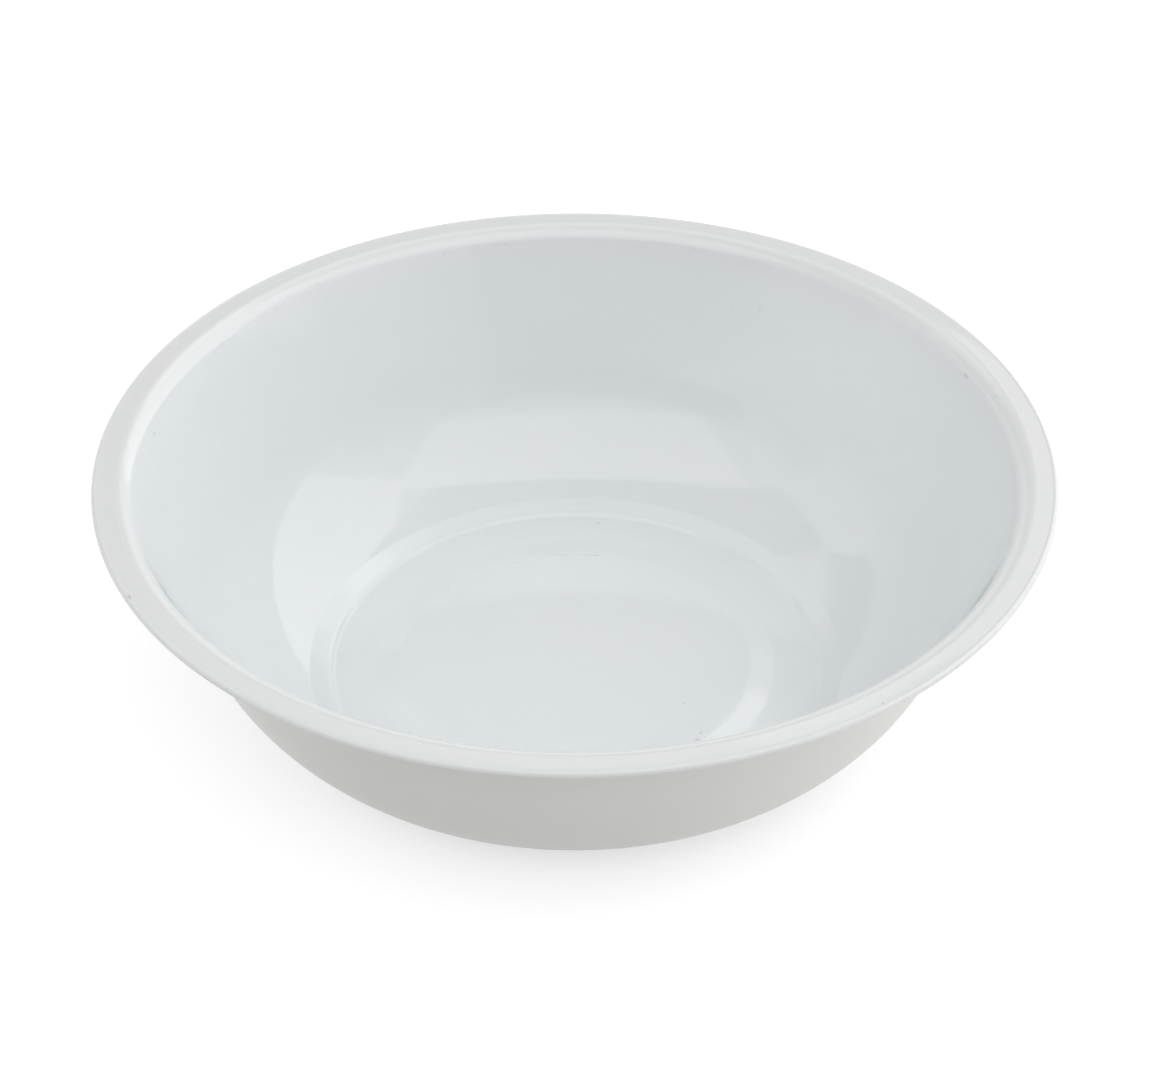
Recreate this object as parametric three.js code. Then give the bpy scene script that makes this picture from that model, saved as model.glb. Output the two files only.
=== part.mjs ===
// A round pressed-metal bowl with a white coat inside and out, a stepped foot and a wired rim.
// Millimetres, +Z up. The origin is the centre of the bowl, on the surface that it stands on.
// Every piece is turned about the bowl's axis, and the wall's layers follow one line: the sheet's meridian.

import * as THREE from 'three';

// Overall size, over the coats
const RIM_DIAMETER = 400;
const BOWL_HEIGHT = 112;

// Layers of the wall: a coat on each side of the sheet
const SHEET_THICKNESS = 0.6;
const INNER_COAT_THICKNESS = 0.25;
const OUTER_COAT_THICKNESS = 0.25;
const COAT_CLEARANCE = 0.05;

// Pressed floor, from the centre out: widths and rises of the sheet's middle line
const CENTRE_DISC_RADIUS = 77;
const CENTRE_SLOPE_WIDTH = 10.5;
const CENTRE_SLOPE_RISE = 1;
const STANDING_RING_WIDTH = 18.7;
const STEP_WIDTH = 2;
const STEP_RISE = 1.8;
const LEDGE_WIDTH = 8.6;
const LEDGE_RISE = 1.8;

// Wall and flange: the shoulder's corner is where the tangents of the wall's curve cross
const SHOULDER_WIDTH = 31.3;
const SHOULDER_RISE = 13.3;
const FLANGE_WIDTH = 12.8;

// Bend radii, on the tight face of the finished wall
const CENTRE_BEND = 12;
const STEP_FOOT_BEND = 2;
const STEP_TOP_BEND = 2;
const LEDGE_BEND = 3;
const SHOULDER_BEND = 80;
const MOUTH_BEND = 7.3;
const GROOVE_BEND = 2.5;

// Wired edge: the bead stands a little above the flange, and its curl stops short of closing.
// The curl's end is an angle about the wire, from straight out.
const WIRE_DIAMETER = 1;
const WIRE_CLEARANCE = 0.1;
const BEAD_RISE = 0.12;
const CURL_END_DEGREES = -150;

// Fineness of the turned surfaces
const TURN_SEGMENTS = 40;
const BEND_TOLERANCE = 0.25;
const CURL_STEP_DEGREES = 38;
const WIRE_SIDES = 8;

// Distances from the sheet's middle line to the faces of the layers
const SHEET_FACE = SHEET_THICKNESS / 2;
const COAT_BED = SHEET_FACE + COAT_CLEARANCE;
const INNER_FACE = COAT_BED + INNER_COAT_THICKNESS;
const OUTER_FACE = COAT_BED + OUTER_COAT_THICKNESS;

// The curl's middle line runs round the wire, and the inner coat covers the bead
const CURL_RADIUS = WIRE_DIAMETER / 2 + WIRE_CLEARANCE + SHEET_FACE;
const BEAD_RADIUS = CURL_RADIUS + INNER_FACE;
const BEAD_CENTRE = new THREE.Vector2(RIM_DIAMETER / 2 - BEAD_RADIUS, BOWL_HEIGHT - BEAD_RADIUS);

// The flange is clear underneath as far as the bead, where the outer coat ends
const UPRIGHT = new THREE.Vector2(0, 1);
const FLANGE_HEIGHT = BEAD_CENTRE.y + CURL_RADIUS - BEAD_RISE;
const FLANGE_END = { point: new THREE.Vector2(BEAD_CENTRE.x - BEAD_RADIUS, FLANGE_HEIGHT), normal: UPRIGHT };

// The places along a circular bend, from one heading (radians from +X) to another: each place is a point
// and the direction square to the sheet, towards the inside of the bowl. A bend to the left curls inwards.
function bend(centre, radius, fromHeading, toHeading, steps) {
  const side = Math.sign(toHeading - fromHeading);
  const places = [];
  for (let i = 0; i <= steps; i += 1) {
    const heading = THREE.MathUtils.lerp(fromHeading, toHeading, i / steps);
    const normal = new THREE.Vector2(-Math.sin(heading), Math.cos(heading));
    places.push({ point: centre.clone().addScaledVector(normal, -side * radius), normal });
  }
  return places;
}

// As many steps as keep each chord of a bend within the tolerance.
function bendSteps(radius, turn) {
  const widest = 2 * Math.acos(1 - Math.min(BEND_TOLERANCE / radius, 1));
  return Math.max(1, Math.ceil(Math.abs(turn) / widest));
}

// A corner of the pressing: the heading into it, its turn, and the bend that it wants.
// The bend's reach is the length that it takes from each side of the corner.
function cornerOf(before, { at, tightRadius }, after) {
  const into = at.clone().sub(before);
  const out = after.clone().sub(at);
  const turn = Math.atan2(into.cross(out), into.dot(out));
  const radius = tightRadius + (turn > 0 ? INNER_FACE : OUTER_FACE);
  const reach = radius * Math.tan(Math.abs(turn) / 2);
  return { at, heading: Math.atan2(into.y, into.x), turn, radius, reach };
}

// The places along the rounded corners between two ends.
// Bends that meet on a side too short for both of them shrink alike.
function roundedCorners(start, stops, end) {
  const path = [start, ...stops.map((stop) => stop.at), end];
  const corners = stops.map((stop, i) => cornerOf(path[i], stop, path[i + 2]));
  const reachAt = (i) => corners[i]?.reach ?? 0;
  const share = (i) => path[i].distanceTo(path[i + 1]) / (reachAt(i - 1) + reachAt(i));
  return corners.flatMap(({ at, heading, turn, radius, reach }, i) => {
    const scale = Math.min(1, share(i), share(i + 1));
    const along = new THREE.Vector2(Math.cos(heading), Math.sin(heading));
    const across = new THREE.Vector2(-along.y, along.x);
    const centre = at.clone().addScaledVector(along, -reach * scale);
    centre.addScaledVector(across, Math.sign(turn) * radius * scale);
    return bend(centre, radius * scale, heading, heading + turn, bendSteps(radius * scale, turn));
  });
}

// The wired edge: the groove beside the bead, whose bend touches the flange and the curl, then the curl
// over the wire to its highest point, out to its widest, and round underneath to its end.
function edgeMeridian() {
  const grooveRadius = GROOVE_BEND + INNER_FACE;
  const grooveHeight = FLANGE_HEIGHT + grooveRadius;
  const apart = grooveRadius + CURL_RADIUS;
  const climb = Math.acos((grooveHeight - BEAD_CENTRE.y) / apart);
  const grooveCentre = new THREE.Vector2(BEAD_CENTRE.x - apart * Math.sin(climb), grooveHeight);
  const curlStep = THREE.MathUtils.degToRad(CURL_STEP_DEGREES);
  const curl = (from, to) => {
    const steps = Math.ceil(Math.abs(to - from) / curlStep);
    return bend(BEAD_CENTRE, CURL_RADIUS, from, to, steps).slice(1);
  };
  const outmost = -Math.PI / 2;
  return [
    ...bend(grooveCentre, grooveRadius, 0, climb, bendSteps(grooveRadius, climb)),
    ...curl(climb, 0),
    ...curl(0, outmost),
    ...curl(outmost, outmost + THREE.MathUtils.degToRad(CURL_END_DEGREES)),
  ];
}

// The dish, from its centre to the flange: disc, slope, standing ring, step, ledge, shoulder and mouth.
function dishMeridian() {
  const centre = new THREE.Vector2(0, OUTER_FACE + CENTRE_SLOPE_RISE);
  const stops = [{ at: new THREE.Vector2(CENTRE_DISC_RADIUS, centre.y), tightRadius: CENTRE_BEND }];
  const next = (width, rise, tightRadius) => {
    const last = stops[stops.length - 1].at;
    stops.push({ at: new THREE.Vector2(last.x + width, last.y + rise), tightRadius });
  };
  next(CENTRE_SLOPE_WIDTH, -CENTRE_SLOPE_RISE, CENTRE_BEND);
  next(STANDING_RING_WIDTH, 0, STEP_FOOT_BEND);
  next(STEP_WIDTH, STEP_RISE, STEP_TOP_BEND);
  next(LEDGE_WIDTH, LEDGE_RISE, LEDGE_BEND);
  next(SHOULDER_WIDTH, SHOULDER_RISE, SHOULDER_BEND);
  stops.push({ at: new THREE.Vector2(BEAD_CENTRE.x - FLANGE_WIDTH, FLANGE_HEIGHT), tightRadius: MOUTH_BEND });
  return [{ point: centre, normal: UPRIGHT }, ...roundedCorners(centre, stops, FLANGE_END.point)];
}

const DISH = dishMeridian();
const EDGE = edgeMeridian();

// Turns a closed outline, given anticlockwise in (radius, height), about the bowl's axis.
function turned(outline) {
  const geometry = new THREE.LatheGeometry(outline, TURN_SEGMENTS);
  geometry.rotateX(Math.PI / 2);
  return geometry;
}

// One face of a layer: the meridian moved square to itself.
function faceOf(places, offset) {
  return places.map(({ point, normal }) => point.clone().addScaledVector(normal, offset));
}

// A layer of the wall between two offsets of the meridian, turned about the axis.
function layer(places, lowerOffset, upperOffset) {
  return turned([...faceOf(places, lowerOffset), ...faceOf(places, upperOffset).reverse()]);
}

function piece(name, geometry, material) {
  const mesh = new THREE.Mesh(geometry, new THREE.MeshStandardMaterial(material));
  mesh.name = name;
  return mesh;
}

// The pressed sheet, from the centre disc to the end of the curl
function bowlShell() {
  const geometry = layer([...DISH, ...EDGE], -SHEET_FACE, SHEET_FACE);
  return piece('bowl_shell', geometry, { color: 0x9ba1a4, roughness: 0.45, metalness: 0.9 });
}

// The wire ring that the sheet's edge is curled round
function rimWire() {
  const section = [];
  for (let i = 0; i <= WIRE_SIDES; i += 1) {
    const angle = (2 * Math.PI * (i % WIRE_SIDES)) / WIRE_SIDES;
    const spoke = new THREE.Vector2(Math.cos(angle), Math.sin(angle));
    section.push(BEAD_CENTRE.clone().addScaledVector(spoke, WIRE_DIAMETER / 2));
  }
  return piece('rim_wire', turned(section), { color: 0x8a8d90, roughness: 0.4, metalness: 0.9 });
}

// The glossy white coat inside, over the flange and round the bead
function innerCoat() {
  const geometry = layer([...DISH, ...EDGE], COAT_BED, INNER_FACE);
  return piece('inner_coat', geometry, { color: 0xdde1e2, roughness: 0.15, metalness: 0 });
}

// The white coat outside and underneath, which stops short of the bead
function outerCoat() {
  const geometry = layer([...DISH, FLANGE_END], -OUTER_FACE, -COAT_BED);
  return piece('outer_coat', geometry, { color: 0xdad9d6, roughness: 0.35, metalness: 0 });
}

const bowl = new THREE.Group();
bowl.add(bowlShell(), rimWire(), innerCoat(), outerCoat());

export default bowl;
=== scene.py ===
"""A white-coated sheet-metal bowl, photographed from above its near rim on a white studio floor."""

import math

import bpy
import numpy as np
from mathutils import Matrix


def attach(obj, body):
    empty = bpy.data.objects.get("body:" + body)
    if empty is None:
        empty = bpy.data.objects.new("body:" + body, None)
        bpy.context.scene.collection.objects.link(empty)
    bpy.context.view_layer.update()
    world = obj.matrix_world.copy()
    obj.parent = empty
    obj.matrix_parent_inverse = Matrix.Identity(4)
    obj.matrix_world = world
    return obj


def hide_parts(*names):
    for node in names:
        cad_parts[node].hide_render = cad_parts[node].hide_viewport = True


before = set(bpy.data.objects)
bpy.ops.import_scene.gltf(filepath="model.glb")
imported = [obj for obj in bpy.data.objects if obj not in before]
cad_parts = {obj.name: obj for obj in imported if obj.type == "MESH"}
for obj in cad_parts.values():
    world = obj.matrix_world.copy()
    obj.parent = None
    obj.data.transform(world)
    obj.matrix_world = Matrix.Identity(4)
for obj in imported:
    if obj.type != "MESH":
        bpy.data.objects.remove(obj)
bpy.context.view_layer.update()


# The pressed sheet
# One blank of zinc-coated steel, pressed to a disc, a standing ring, a step, a ledge and a curved wall.
# Its edge is rolled outwards to a flange and curled round a wire.

MM = 0.001

# Fineness: steps of a whole turn, the longest step on a straight stretch in mm, and the widest on bends
TURN_STEPS = 256
STRAIGHT_STEP = 9.0
BEND_STEP = math.radians(2.0)
CURL_STEP = math.radians(10.0)

# Overall size, and the distances from the sheet's middle line to its faces and to those of the coats, in mm
RIM_RADIUS = 200.0
BOWL_HEIGHT = 112.0
SHEET_FACE = 0.30
COAT_BED = 0.35
COAT_FACE = 0.60

# Widths and rises from the centre out, and the bends between them on the tight face of the finished wall
CENTRE_DISC = (77.0, 0.0)
CENTRE_SLOPE = (10.5, -1.0)
STANDING_RING = (18.7, 0.0)
STEP = (2.0, 1.8)
LEDGE = (8.6, 1.8)
SHOULDER = (31.3, 13.3)
CORNER_BENDS = (12.0, 12.0, 2.0, 2.0, 3.0, 80.0, 7.3)
FLANGE_WIDTH = 12.8

# The wired edge: a groove beside the bead, and the curl round the wire to its end underneath
GROOVE_BEND = 2.5
WIRE_RADIUS = 0.5
WIRE_CLEARANCE = 0.1
BEAD_RISE = 0.12
CURL_END = math.radians(-240.0)
CURL_RADIUS = WIRE_RADIUS + WIRE_CLEARANCE + SHEET_FACE
BEAD_RADIUS = CURL_RADIUS + COAT_FACE
BEAD_CENTRE = np.array([RIM_RADIUS - BEAD_RADIUS, BOWL_HEIGHT - BEAD_RADIUS])
FLANGE_HEIGHT = BEAD_CENTRE[1] + CURL_RADIUS - BEAD_RISE


def bend(centre, radius, start, end, step):
    """Places along a circular bend and the directions square to it, towards the inside of the bowl.

    At each heading h between start and end the direction is (-sin h, cos h), and the place lies one
    radius from the centre: against that direction where the bend curls inwards, along it where it curls out.
    """
    count = max(2, math.ceil(abs(end - start) / step) + 1)
    heading = np.linspace(start, end, count)
    square = np.stack([-np.sin(heading), np.cos(heading)], axis=1)
    return centre - np.sign(end - start) * radius * square, square


def pressing_line(path, tight_radii):
    """The sheet's middle line from the axis to the flange, as places and the directions square to it.

    Each corner of the path is rounded by a bend whose reach along both sides is its radius times the
    tangent of half the turn. Bends that meet on a side too short for both shrink by the same share.
    Straight stretches are divided evenly.
    """
    sides = np.diff(path, axis=0)
    lengths = np.hypot(*sides.T)
    headings = np.arctan2(sides[:, 1], sides[:, 0])
    turns = np.diff(headings)
    radii = np.asarray(tight_radii) + COAT_FACE
    reach = radii * np.tan(np.abs(turns) / 2)
    taken = np.concatenate([[0], reach]) + np.concatenate([reach, [0]])
    share = lengths / taken
    scale = np.minimum(1, np.minimum(share[:-1], share[1:]))
    radii = radii * scale
    reach = reach * scale
    along = np.stack([np.cos(headings), np.sin(headings)], axis=1)
    square = np.stack([-np.sin(headings), np.cos(headings)], axis=1)
    places = [path[:1]]
    squares = [square[:1]]
    for i, turn in enumerate(turns):
        start = path[i + 1] - reach[i] * along[i]
        centre = start + np.sign(turn) * radii[i] * square[i]
        bent, faced = bend(centre, radii[i], headings[i], headings[i + 1], BEND_STEP)
        last = places[-1][-1]
        count = max(1, math.ceil(np.hypot(*(bent[0] - last)) / STRAIGHT_STEP))
        shares = np.linspace(0, 1, count, endpoint=False)[1:, None]
        places += [last + shares * (bent[0] - last), bent]
        squares += [np.repeat(faced[:1], len(shares), axis=0), faced]
    return np.concatenate(places), np.concatenate(squares)


def wired_edge():
    """The groove beside the bead and the curl round the wire, as places and the directions square to them.

    The groove's circle touches the flange's line from above and the curl's circle from outside, so the two
    centres stand a groove radius plus a curl radius apart, at an angle whose cosine is their height
    difference over that distance. The curl has a place at its highest and at its widest point.
    """
    groove_radius = GROOVE_BEND + COAT_FACE
    groove_height = FLANGE_HEIGHT + groove_radius
    apart = groove_radius + CURL_RADIUS
    climb = math.acos((groove_height - BEAD_CENTRE[1]) / apart)
    groove_centre = np.array([BEAD_CENTRE[0] - apart * math.sin(climb), groove_height])
    groove, groove_square = bend(groove_centre, groove_radius, 0, climb, CURL_STEP)
    turns = (climb, 0, -math.pi / 2, CURL_END)
    curls = [bend(BEAD_CENTRE, CURL_RADIUS, start, end, CURL_STEP) for start, end in zip(turns, turns[1:])]
    places = np.concatenate([groove] + [curl[1:] for curl, square in curls])
    return places, np.concatenate([groove_square] + [square[1:] for curl, square in curls])


def turned(name, outline, sharp=()):
    """A piece turned about the bowl's axis from an anticlockwise outline of radius and height in mm.

    Each place becomes a ring (r cos a, r sin a, z) at equal steps of the angle a. Rings are joined by
    four-sided faces. A place on the axis becomes one pole, joined to its ring by triangles. An outline that
    doesn't reach the axis closes on itself. The sharp places' rings keep a crisp edge.
    """
    angle = np.linspace(0, 2 * np.pi, TURN_STEPS, endpoint=False)
    rings = np.empty((len(outline), TURN_STEPS, 3))
    rings[..., 0] = outline[:, :1] * np.cos(angle)
    rings[..., 1] = outline[:, :1] * np.sin(angle)
    rings[..., 2] = outline[:, 1:]
    poles = outline[0, 0] == 0
    index = np.arange(len(outline) * TURN_STEPS).reshape(len(outline), TURN_STEPS)
    if poles:
        body, index = rings[1:-1], index[:-2]
        points = np.concatenate([body.reshape(-1, 3), rings[0, :1], rings[-1, :1]])
        inner, outer = index[:-1], index[1:]
        first, last = len(points) - 2, len(points) - 1
        near, far = index[0], index[-1]
        caps = [np.stack([np.full(TURN_STEPS, first), np.roll(near, -1), near], axis=1)]
        caps += [np.stack([far, np.roll(far, -1), np.full(TURN_STEPS, last)], axis=1)]
        triangles = np.concatenate(caps).tolist()
    else:
        points, triangles = rings.reshape(-1, 3), []
        inner, outer = index, np.roll(index, -1, axis=0)
    quads = np.stack([inner, np.roll(inner, -1, axis=1), np.roll(outer, -1, axis=1), outer], axis=-1)
    mesh = bpy.data.meshes.new(name)
    mesh.from_pydata((points * MM).tolist(), [], quads.reshape(-1, 4).tolist() + triangles)
    mesh.shade_smooth()
    edges = np.empty(len(mesh.edges) * 2, int)
    mesh.edges.foreach_get("vertices", edges)
    ring_of = edges.reshape(-1, 2) // TURN_STEPS + int(poles)
    crisp = (ring_of[:, 0] == ring_of[:, 1]) & np.isin(ring_of[:, 0], sharp)
    mesh.attributes.new("sharp_edge", "BOOLEAN", "EDGE").data.foreach_set("value", crisp)
    piece = bpy.data.objects.new(name, mesh)
    bpy.context.collection.objects.link(piece)
    return piece


def layer(name, places, squares, lower, upper):
    """A layer of the wall: the line moved square to itself by two distances, closed and turned."""
    outline = np.concatenate([places + lower * squares, (places + upper * squares)[::-1]])
    outline[[0, -1], 0] = 0
    count = len(places)
    return turned(name, outline, sharp=(count - 1, count))


centre = np.array([0, COAT_FACE - CENTRE_SLOPE[1]])
forms = (CENTRE_DISC, CENTRE_SLOPE, STANDING_RING, STEP, LEDGE, SHOULDER)
mouth = np.array([BEAD_CENTRE[0] - FLANGE_WIDTH, FLANGE_HEIGHT])
flange_end = np.array([BEAD_CENTRE[0] - BEAD_RADIUS, FLANGE_HEIGHT])
corners = np.vstack([centre, centre + np.cumsum(forms, axis=0), mouth, flange_end])

dish_line, dish_square = pressing_line(corners, CORNER_BENDS)
edge_line, edge_square = wired_edge()
whole_line = np.concatenate([dish_line, edge_line])
whole_square = np.concatenate([dish_square, edge_square])


class Flow:
    """One output of a material's nodes. Arithmetic on it adds Math nodes to the same tree."""

    def __init__(self, tree, socket=None):
        self.tree = tree
        self.socket = socket

    def node(self, kind, inputs, output=0, **settings):
        """Adds a node, sets its settings, then sets or links its sockets, and gives one of its outputs."""
        made = self.tree.nodes.new(kind)
        for name, value in settings.items():
            setattr(made, name, value)
        for key, value in inputs.items():
            if isinstance(value, Flow):
                self.tree.links.new(value.socket, made.inputs[key])
            else:
                made.inputs[key].default_value = value
        return Flow(self.tree, made.outputs[output])

    def maths(self, operation, first, second=0.0):
        return self.node("ShaderNodeMath", {0: first, 1: second}, operation=operation)

    def between(self, low, high):
        """0 below low, 1 above high, and a smooth climb between them."""
        sockets = {"Value": self, "From Min": low, "From Max": high}
        return self.node("ShaderNodeMapRange", sockets, interpolation_type="SMOOTHSTEP")

    def noise(self, per_metre, detail, roughness=0.5, output=0):
        """Cloudy noise over the places of this flow, by its number of clouds in a metre."""
        sockets = {"Vector": self, "Scale": per_metre, "Detail": detail, "Roughness": roughness}
        return self.node("ShaderNodeTexNoise", sockets, output=output)

    def level(self):
        """The places of this flow, all brought to height 0."""
        return self.node("ShaderNodeVectorMath", {0: self, 1: (1, 1, 0)}, operation="MULTIPLY")

    def length(self):
        """How far the places of this flow are from the origin."""
        return self.node("ShaderNodeVectorMath", {0: self}, output="Value", operation="LENGTH")

    def __add__(self, other):
        return self.maths("ADD", self, other)

    def __sub__(self, other):
        return self.maths("SUBTRACT", self, other)

    def __rsub__(self, other):
        return self.maths("SUBTRACT", other, self)

    def __mul__(self, other):
        return self.maths("MULTIPLY", self, other)

    __radd__ = __add__
    __rmul__ = __mul__


def material(name):
    """A new material with its shader, and a flow that its nodes hang on."""
    made = bpy.data.materials.new(name)
    made.use_nodes = True
    return made, made.node_tree.nodes["Principled BSDF"], Flow(made.node_tree)


def link(flow, shader, socket):
    flow.tree.links.new(flow.socket, shader.inputs[socket])


def mixed(factor, first, second):
    """A colour between two, by a factor from 0 to 1."""
    return factor.node("ShaderNodeMix", {0: factor, 6: first, 7: second}, output=2, data_type="RGBA")


def dress(piece, finish, node):
    """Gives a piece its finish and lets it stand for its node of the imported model."""
    piece.data.materials.append(finish)
    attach(piece, "root")
    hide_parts(node)


ZINC_DARK = (0.27, 0.29, 0.30, 1)
ZINC_PALE = (0.42, 0.45, 0.47, 1)
ZINC_METAL = 0.9
ZINC_ROUGHNESS = 0.34
SPANGLES_PER_M = 140.0
SPANGLE_ROUGHNESS = 0.2

zinc, zinc_shader, flow = material("zinc_coated_sheet")
zinc_shader.inputs["Metallic"].default_value = ZINC_METAL
place = flow.node("ShaderNodeTexCoord", {}, output="Object")
spangle = flow.node("ShaderNodeTexVoronoi", {"Vector": place, "Scale": SPANGLES_PER_M}, output="Color")
tone = flow.node("ShaderNodeSeparateColor", {"Color": spangle})
link(mixed(tone, ZINC_DARK, ZINC_PALE), zinc_shader, "Base Color")
link(ZINC_ROUGHNESS + SPANGLE_ROUGHNESS * tone, zinc_shader, "Roughness")

pressed_sheet = layer("pressed_sheet", whole_line, whole_square, -SHEET_FACE, SHEET_FACE)
dress(pressed_sheet, zinc, "bowl_shell")


# The rim wire
# A ring of drawn steel wire inside the curled edge. It stiffens the rim and gives the bead its round form.
# It is held by the curl alone.

WIRE_SIDES = 24
WIRE_DARK = (0.16, 0.165, 0.17, 1)
WIRE_PALE = (0.34, 0.35, 0.36, 1)
WIRE_ROUGHNESS = 0.3
GRAINS_PER_M = 900.0
GRAIN_BAND = (0.35, 0.65)
GRAIN_ROUGHNESS = 0.25

steel, steel_shader, flow = material("drawn_wire")
steel_shader.inputs["Metallic"].default_value = 1.0
place = flow.node("ShaderNodeTexCoord", {}, output="Object")
grain = place.noise(GRAINS_PER_M, detail=4.0)
link(mixed(grain.between(*GRAIN_BAND), WIRE_DARK, WIRE_PALE), steel_shader, "Base Color")
link(WIRE_ROUGHNESS + GRAIN_ROUGHNESS * grain, steel_shader, "Roughness")

around = np.linspace(0, 2 * np.pi, WIRE_SIDES, endpoint=False)
wire_outline = BEAD_CENTRE + WIRE_RADIUS * np.stack([np.cos(around), np.sin(around)], axis=1)
rim_wire = turned("wire_ring", wire_outline)
dress(rim_wire, steel, "rim_wire")


# The inside coat
# A hard glossy white coat, a little cool, over the inside, the flange and round the bead.
# Use has left rub marks on it: rings of specks, and a few chips and scratches down to the sheet.

# The white and its cloudy shade, and a darker, warmer white on the rim, which sets in between two radii in
# metres
INSIDE_WHITE = (0.775, 0.801, 0.808, 1)
INSIDE_SHADE = (0.763, 0.791, 0.799, 1)
RIM_WHITE = (0.742, 0.754, 0.747, 1)
RIM_WHITE_RADII = (0.178, 0.190)
MOTTLES_PER_M = 11.0
MOTTLE_BAND = (0.3, 0.7)

# Roughness of the whole coat, what the mottle adds, and what wear adds
GLOSS = 0.03
GLOSS_MOTTLE = 0.04
WORN_GLOSS = 0.4

# Relief in millimetres: the fine peel of the coat, the shallow rings of the pressing, and the depth of wear.
# The rings are one wave apart, in metres.
PEELS_PER_M = 320.0
PEEL_RELIEF = 0.002
RING_WAVE = 0.023
RING_RELIEF = 0.006
WEAR_RELIEF = 0.03

# Rub marks: radius and half width of each ring in metres, and the share of that width that is rubbed fully.
# Specks are drawn by chance in cells of a few millimetres, and only on patches of the mottle.
RUB_RINGS = ((0.0757, 0.0022), (0.1754, 0.0012), (0.1838, 0.0016), (0.1976, 0.0018))
RUB_FULL = 0.3
SPECKS_PER_M = 230.0
SPECK_EDGE = (0.10, 0.26)
SPECK_CHANCE = (0.35, 0.9)
SPECK_PATCHES = (0.46, 0.6)
SPECK_DEPTH = 0.12

# Chips and scratches: place across the bowl, half length and half width in millimetres, heading in degrees,
# and depth. A fine fringe shifts their edges, which fade between two lengths.
CHIP_GREY = (0.20, 0.205, 0.21, 1)
CHIP_EDGE = (1.15, 0.55)
FRINGES_PER_M = 1100.0
FRINGE_SHIFT = (0.0008, 0.0008, 0)
CHIPS = (
    (6.2, 75.5, 5.0, 0.4, -3.5, 0.18),
    (10.6, 75.2, 1.1, 0.6, 0, 0.27),
    (-6.5, 75.6, 7.0, 0.8, -7, 0.09),
    (-27.2, 69.8, 2.0, 0.45, 5, 0.09),
    (-51.3, 45.4, 3.8, 0.45, -30, 0.08),
    (-63.6, 50.3, 2.4, 0.45, 27, 0.07),
    (11.3, 101.8, 1.2, 0.7, 0, 0.15),
    (47.6, -30.3, 1.0, 0.6, 10, 0.18),
    (53.8, -50.2, 1.0, 0.7, 20, 0.22),
    (52.2, -54.6, 1.5, 0.6, 15, 0.3),
    (171.4, 66.4, 2.8, 0.35, 111, 0.17),
    (181.6, 44.9, 0.9, 0.5, 104, 0.14),
    (-179.2, 28.8, 1.5, 0.35, 81, 0.18),
    (-173.0, -95.7, 1.6, 0.55, -61, 0.36),
    (114.2, -160.6, 0.8, 0.5, 35, 0.3),
)


def chipped(place):
    """How deep the chips are at a place, where the deepest one counts.

    For each chip, the place is turned and scaled so that the chip's edge lies at length 1, and its depth
    fades out round there.
    """
    deepest = 0.0
    for x, y, half_length, half_width, heading, depth in CHIPS:
        sockets = {
            "Vector": place,
            "Location": (x * MM, y * MM, 0),
            "Rotation": (0, 0, math.radians(heading)),
            "Scale": (half_length * MM, half_width * MM, 1),
        }
        across = place.node("ShaderNodeMapping", sockets, vector_type="TEXTURE")
        deepest = place.maths("MAXIMUM", deepest, depth * across.length().between(*CHIP_EDGE))
    return deepest


def rubbed(radius):
    """How much a place is rubbed: 1 near the middle of a ring of marks, fading to 0 at its half width."""
    most = 0.0
    for ring, half_width in RUB_RINGS:
        off = radius.maths("ABSOLUTE", radius - ring)
        most = radius.maths("MAXIMUM", most, 1 - off.between(RUB_FULL * half_width, half_width))
    return most


inside_white, inside_shader, flow = material("glossy_white_coat")
place = flow.node("ShaderNodeTexCoord", {}, output="Object")
mottle = place.noise(MOTTLES_PER_M, detail=3.0)
peel = place.noise(PEELS_PER_M, detail=1.0)
fringe = place.noise(FRINGES_PER_M, detail=1.0, output="Color")
shift = {0: fringe, 1: FRINGE_SHIFT, 2: place}
level = flow.node("ShaderNodeVectorMath", shift, operation="MULTIPLY_ADD").level()
radius = level.length()

speck_cells = {"Vector": place, "Scale": SPECKS_PER_M}
speck_reach = flow.node("ShaderNodeTexVoronoi", speck_cells, output="Distance")
speck_colour = flow.node("ShaderNodeTexVoronoi", speck_cells, output="Color")
speck_draw = flow.node("ShaderNodeSeparateColor", {0: speck_colour})
specks = (1 - speck_reach.between(*SPECK_EDGE)) * speck_draw.between(*SPECK_CHANCE)
specks = specks * mottle.between(*SPECK_PATCHES) * rubbed(radius)
wear = flow.maths("MAXIMUM", chipped(level), SPECK_DEPTH * specks)

white = mixed(mottle.between(*MOTTLE_BAND), INSIDE_WHITE, INSIDE_SHADE)
# Between the two radii the white turns to the rim's darker, warmer white
white = mixed(radius.between(*RIM_WHITE_RADII), white, RIM_WHITE)
link(mixed(wear, white, CHIP_GREY), inside_shader, "Base Color")
link(GLOSS + GLOSS_MOTTLE * mottle + WORN_GLOSS * wear, inside_shader, "Roughness")
waves = flow.maths("SINE", radius * (2 * math.pi / RING_WAVE))
relief = PEEL_RELIEF * peel + RING_RELIEF * waves - WEAR_RELIEF * wear
link(flow.node("ShaderNodeBump", {"Height": relief, "Distance": MM}), inside_shader, "Normal")

inside_coat = layer("inside_coat", whole_line, whole_square, COAT_BED, COAT_FACE)
dress(inside_coat, inside_white, "inner_coat")


# The outside coat
# The same white coat on the outside and underneath, duller and a little warm. It stops short of the bead.
# The ring that the bowl stands on is rubbed grey.

OUTSIDE_WHITE = (0.775, 0.775, 0.762, 1)
OUTSIDE_SHADE = (0.757, 0.756, 0.742, 1)
OUTSIDE_MOTTLES_PER_M = 9.0

# Roughness of the whole coat, what the mottle adds, and what rubbing adds
SATIN = 0.30
SATIN_MOTTLE = 0.10
RUBBED_SATIN = 0.25

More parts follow.
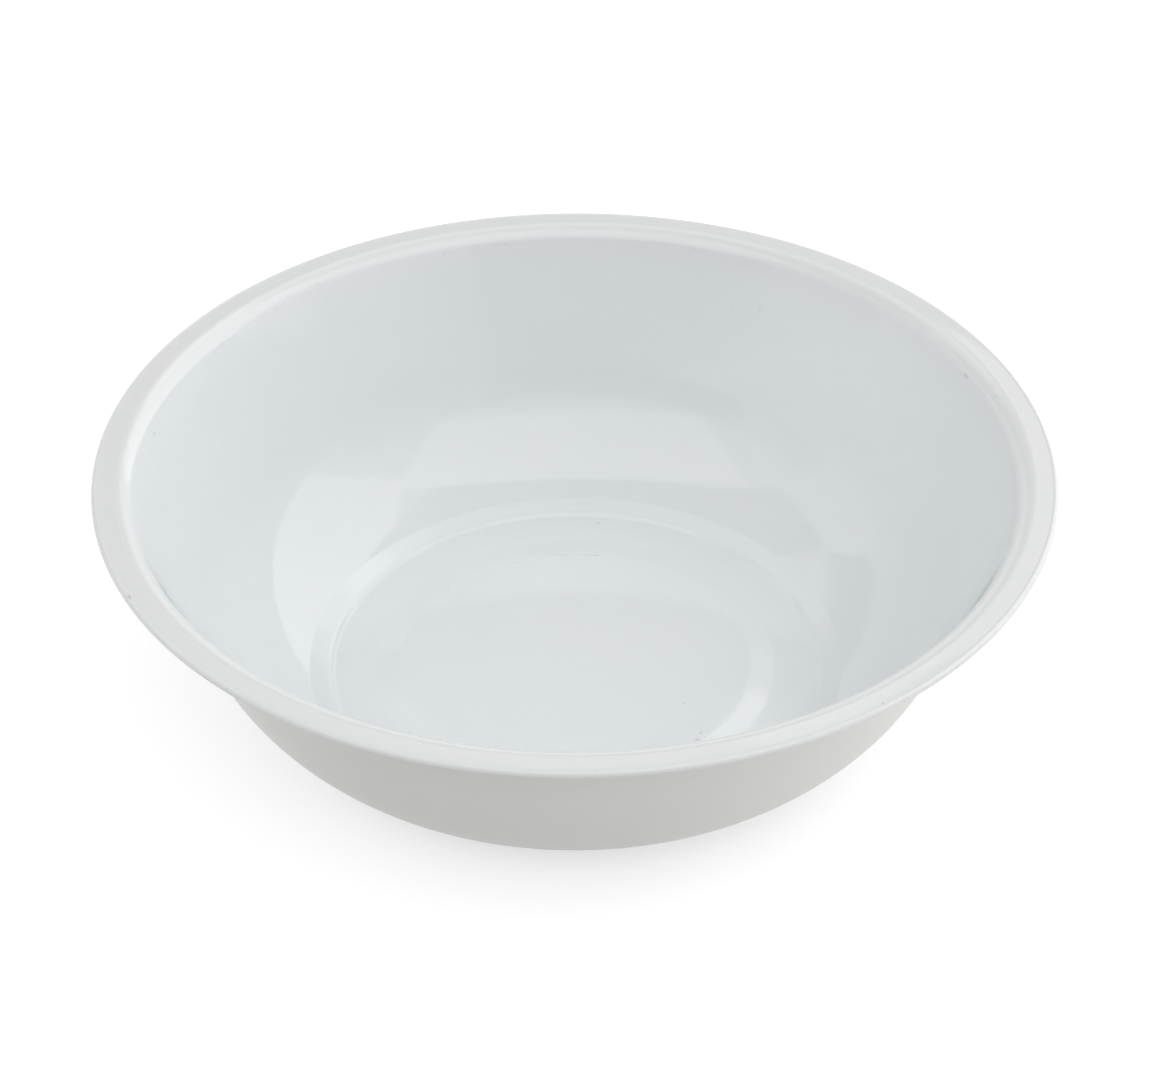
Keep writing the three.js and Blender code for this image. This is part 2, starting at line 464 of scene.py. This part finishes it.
# Relief in millimetres: the fine grain of the coat, and the depth of rubbing
COAT_GRAINS_PER_M = 700.0
COAT_GRAIN_RELIEF = 0.006
RUB_RELIEF = 0.02

# The rubbed ring, in metres: its radius, the distances from that between which it fades out, and the heights
# between which it ends
RUBBED_GREY = (0.42, 0.42, 0.41, 1)
RUBBED_SHARE = 0.7
STANDING_RADIUS = 0.0962
STANDING_FADE = (0.0072, 0.009)
RUB_HEIGHTS = (0.0001, 0.0006)
SCRATCHES_PER_M = 160.0
SCRATCH_FRAY = 0.7
SCRATCH_BAND = (0.45, 0.62)

outside_white, outside_shader, flow = material("satin_white_coat")
place = flow.node("ShaderNodeTexCoord", {}, output="Object")
mottle = place.noise(OUTSIDE_MOTTLES_PER_M, detail=4.0)
grain = place.noise(COAT_GRAINS_PER_M, detail=2.0)
scratched = place.noise(SCRATCHES_PER_M, detail=5.0, roughness=SCRATCH_FRAY)
radius = place.level().length()
height = flow.node("ShaderNodeSeparateXYZ", {0: place}, output="Z")
standing = 1 - flow.maths("ABSOLUTE", radius - STANDING_RADIUS).between(*STANDING_FADE)
rub = standing * (1 - height.between(*RUB_HEIGHTS)) * scratched.between(*SCRATCH_BAND)

white = mixed(mottle.between(*MOTTLE_BAND), OUTSIDE_WHITE, OUTSIDE_SHADE)
link(mixed(RUBBED_SHARE * rub, white, RUBBED_GREY), outside_shader, "Base Color")
link(SATIN + SATIN_MOTTLE * mottle + RUBBED_SATIN * rub, outside_shader, "Roughness")
relief = COAT_GRAIN_RELIEF * grain - RUB_RELIEF * rub
link(flow.node("ShaderNodeBump", {"Height": relief, "Distance": MM}), outside_shader, "Normal")

outer_line = np.vstack([dish_line, flange_end])
outer_square = np.vstack([dish_square, [0.0, 1.0]])
outside_coat = layer("outside_coat", outer_line, outer_square, -COAT_FACE, -COAT_BED)
dress(outside_coat, outside_white, "outer_coat")


# The floor
# A plain white studio floor that runs out of sight on every side and keeps the bowl's soft shadow.
# To the camera and in the glossy coat it glows a little, so that it meets the white surround.

FLOOR_RADIUS = 8.0
FLOOR_DROP = 0.0002
FLOOR_RINGS = 24
FLOOR_SIDES = 96
FLOOR_GREY = 0.62
FLOOR_ROUGHNESS = 0.9
FLOOR_GLOW = (0.58, 0.58, 0.58, 1)
BLACK = (0, 0, 0, 1)


def matt(shader, grey, roughness=1.0):
    """Makes a shader a dull grey with no shine."""
    shader.inputs["Base Color"].default_value = (grey, grey, grey, 1)
    shader.inputs["Roughness"].default_value = roughness
    shader.inputs["Specular IOR Level"].default_value = 0.0


def staged(name, points, faces, finish, seen):
    """A part of the studio from its points and faces. The camera looks through it where it isn't seen."""
    mesh = bpy.data.meshes.new(name)
    mesh.from_pydata(points, [], faces)
    mesh.materials.append(finish)
    made = bpy.data.objects.new(name, mesh)
    made.visible_camera = seen
    bpy.context.collection.objects.link(made)


def seen_directly(flow):
    """1 for the rays that show the background to the camera, by itself, mirrored or through glass."""
    camera = flow.node("ShaderNodeLightPath", {}, output="Is Camera Ray")
    glossy = flow.node("ShaderNodeLightPath", {}, output="Is Glossy Ray")
    through = flow.node("ShaderNodeLightPath", {}, output="Is Transmission Ray")
    return flow.maths("MAXIMUM", camera, flow.maths("MAXIMUM", glossy, through))


floor_white, floor_shader, flow = material("studio_white")
matt(floor_shader, FLOOR_GREY, FLOOR_ROUGHNESS)
floor_shader.inputs["Emission Strength"].default_value = 1.0
link(mixed(seen_directly(flow), BLACK, FLOOR_GLOW), floor_shader, "Emission Color")

# Rings (R cos a, R sin a) whose radius R grows with the square of their number, round one middle face
reach = FLOOR_RADIUS * np.linspace(0, 1, FLOOR_RINGS + 1)[1:] ** 2
angle = np.linspace(0, 2 * np.pi, FLOOR_SIDES, endpoint=False)
floor_grid = np.empty((FLOOR_RINGS, FLOOR_SIDES, 3))
floor_grid[..., 0] = reach[:, None] * np.cos(angle)
floor_grid[..., 1] = reach[:, None] * np.sin(angle)
floor_grid[..., 2] = -FLOOR_DROP
index = np.arange(FLOOR_RINGS * FLOOR_SIDES).reshape(FLOOR_RINGS, FLOOR_SIDES)
inner, outer = index[:-1], index[1:]
quads = np.stack([inner, outer, np.roll(outer, -1, axis=1), np.roll(inner, -1, axis=1)], axis=-1)
floor_faces = quads.reshape(-1, 4).tolist() + [index[0].tolist()]
staged("studio_floor", floor_grid.reshape(-1, 3).tolist(), floor_faces, floor_white, seen=True)


# The grey screens
# Curved screens of grey cloth that stand round the floor, one behind the bowl and three in front of it,
# and a level cloth overhead. The camera doesn't see them: they tone the images in the glossy coat.

SCREEN_RADIUS = 3.4
OUTER_SCREEN_RADIUS = 3.5
SCREEN_STEPS = 24
OVERHEAD_GREY = 0.55
OVERHEAD_CORNERS = ((-2.65, -0.1, 2.6), (-2.65, 1.45, 2.6), (1.3, 1.45, 2.6), (1.3, -0.1, 2.6))


def screen(name, azimuth, spread, low, high, grey, thinning, radius=SCREEN_RADIUS):
    """A curved screen of one grey between two elevations. All angles are in degrees, seen from the bowl.

    Points (R cos a, R sin a, h) with the angle a in equal steps over the spread, and h at the foot and the
    top, which are R times the tangents of the elevations. The cloth thins out towards foot and top.
    """
    a = np.radians(np.linspace(azimuth - spread / 2, azimuth + spread / 2, SCREEN_STEPS))
    elevations = np.radians([low, low + thinning, high - thinning, high])
    foot, low_full, high_full, top = radius * np.tan(elevations)
    edge = np.stack([radius * np.cos(a), radius * np.sin(a), foot + 0 * a], axis=1)
    points = np.concatenate([edge, edge + [0, 0, top - foot]])
    along = np.arange(SCREEN_STEPS - 1)
    faces = np.stack([along, along + SCREEN_STEPS, along + SCREEN_STEPS + 1, along + 1], axis=1)
    cloth, cloth_shader, flow = material(name)
    matt(cloth_shader, grey)
    place = flow.node("ShaderNodeTexCoord", {}, output="Object")
    height = flow.node("ShaderNodeSeparateXYZ", {0: place}, output="Z")
    link(height.between(foot, low_full) * (1 - height.between(high_full, top)), cloth_shader, "Alpha")
    staged(name, points.tolist(), faces.tolist(), cloth, seen=False)


screen("screen_behind", 114.0, 70.0, 20.0, 44.0, 0.25, 6.5)
screen("screen_in_front", 265.0, 160.0, 0, 32.0, 0.8, 4.0, radius=OUTER_SCREEN_RADIUS)
screen("screen_at_camera", 257.0, 80.0, 12.0, 29.5, 0.3, 1.0)
screen("low_screen", 257.0, 80.0, 0, 9.0, 0.12, 1.0)

overhead, overhead_shader, flow = material("overhead_cloth")
matt(overhead_shader, OVERHEAD_GREY)
staged("overhead_cloth", OVERHEAD_CORNERS, [(0, 1, 2, 3)], overhead, seen=False)


# The studio light
# A white surround, a large soft box on the right with a small one beside it at the back, a wide one
# overhead towards the camera, a weak one on the left, and a low strip at the right for the wall's outside.

SURROUND = (0.738, 0.738, 0.738, 1)
WHITE = (1, 1, 1, 1)
LAMP_DISTANCE = 3.0

world = bpy.data.worlds.new("white_surround")
bpy.context.scene.world = world
world.use_nodes = True
flow = Flow(world.node_tree)
backdrop = world.node_tree.nodes["Background"]
link(mixed(seen_directly(flow), SURROUND, WHITE), backdrop, "Color")


def soft_box(name, azimuth, elevation, width, height, radiance, mirrored=True):
    """A rectangular lamp that faces the bowl, by its direction, its size and the brightness of its face.

    Direction and size are angles seen from the bowl, in degrees, the azimuth from +X towards +Y. A side is
    twice the distance times the tangent of half its angle, and the power is pi times brightness times area.
    """
    a, e = math.radians(azimuth), math.radians(elevation)
    out = np.array([math.cos(e) * math.cos(a), math.cos(e) * math.sin(a), math.sin(e)])
    side = np.array([-math.sin(a), math.cos(a), 0])
    lamp = bpy.data.lights.new(name, "AREA")
    lamp.shape = "RECTANGLE"
    lamp.size, lamp.size_y = 2 * LAMP_DISTANCE * np.tan(np.radians([width, height]) / 2)
    lamp.energy = radiance * math.pi * lamp.size * lamp.size_y
    holder = bpy.data.objects.new(name, lamp)
    turn = Matrix(np.stack([side, np.cross(out, side), out], axis=1).tolist()).to_4x4()
    holder.matrix_world = Matrix.Translation(LAMP_DISTANCE * out) @ turn
    holder.visible_camera = False
    holder.visible_glossy = mirrored
    bpy.context.collection.objects.link(holder)


soft_box("right_box", 33.0, 31.0, 62.0, 58.0, 0.90)
soft_box("back_box", 75.0, 47.5, 13.0, 13.0, 0.6)
soft_box("top_box", 272.0, 63.3, 78.0, 46.6, 0.78)
soft_box("left_box", 173.5, 27.2, 67.4, 29.8, 0.62, mirrored=False)
soft_box("low_box", -25.0, 2.7, 50.0, 4.6, 5.5, mirrored=False)


# The camera
# A long lens a little over a metre from the rim, looking down over the near edge.
# Its distance and elevation are counted from a point on the bowl's axis, at the aim height.

LENS_MM = 86.22
SENSOR_MM = 36.0
AIM_HEIGHT = 110.05
CAMERA_DISTANCE = 1.15
CAMERA_ELEVATION = math.radians(35.122)
CAMERA_DIP = math.radians(36.679)
CAMERA_ROLL = math.radians(-0.157)

lens = bpy.data.cameras.new("camera")
lens.lens = LENS_MM
lens.sensor_width = SENSOR_MM
camera = bpy.data.objects.new("camera", lens)
back = math.cos(CAMERA_ELEVATION) * CAMERA_DISTANCE
up = math.sin(CAMERA_ELEVATION) * CAMERA_DISTANCE + AIM_HEIGHT * MM
tilt = Matrix.Rotation(math.pi / 2 - CAMERA_DIP, 4, "X") @ Matrix.Rotation(CAMERA_ROLL, 4, "Z")
camera.matrix_world = Matrix.Translation((0, -back, up)) @ tilt
bpy.context.collection.objects.link(camera)
bpy.context.scene.camera = camera
bpy.context.scene.view_settings.view_transform = "Standard"
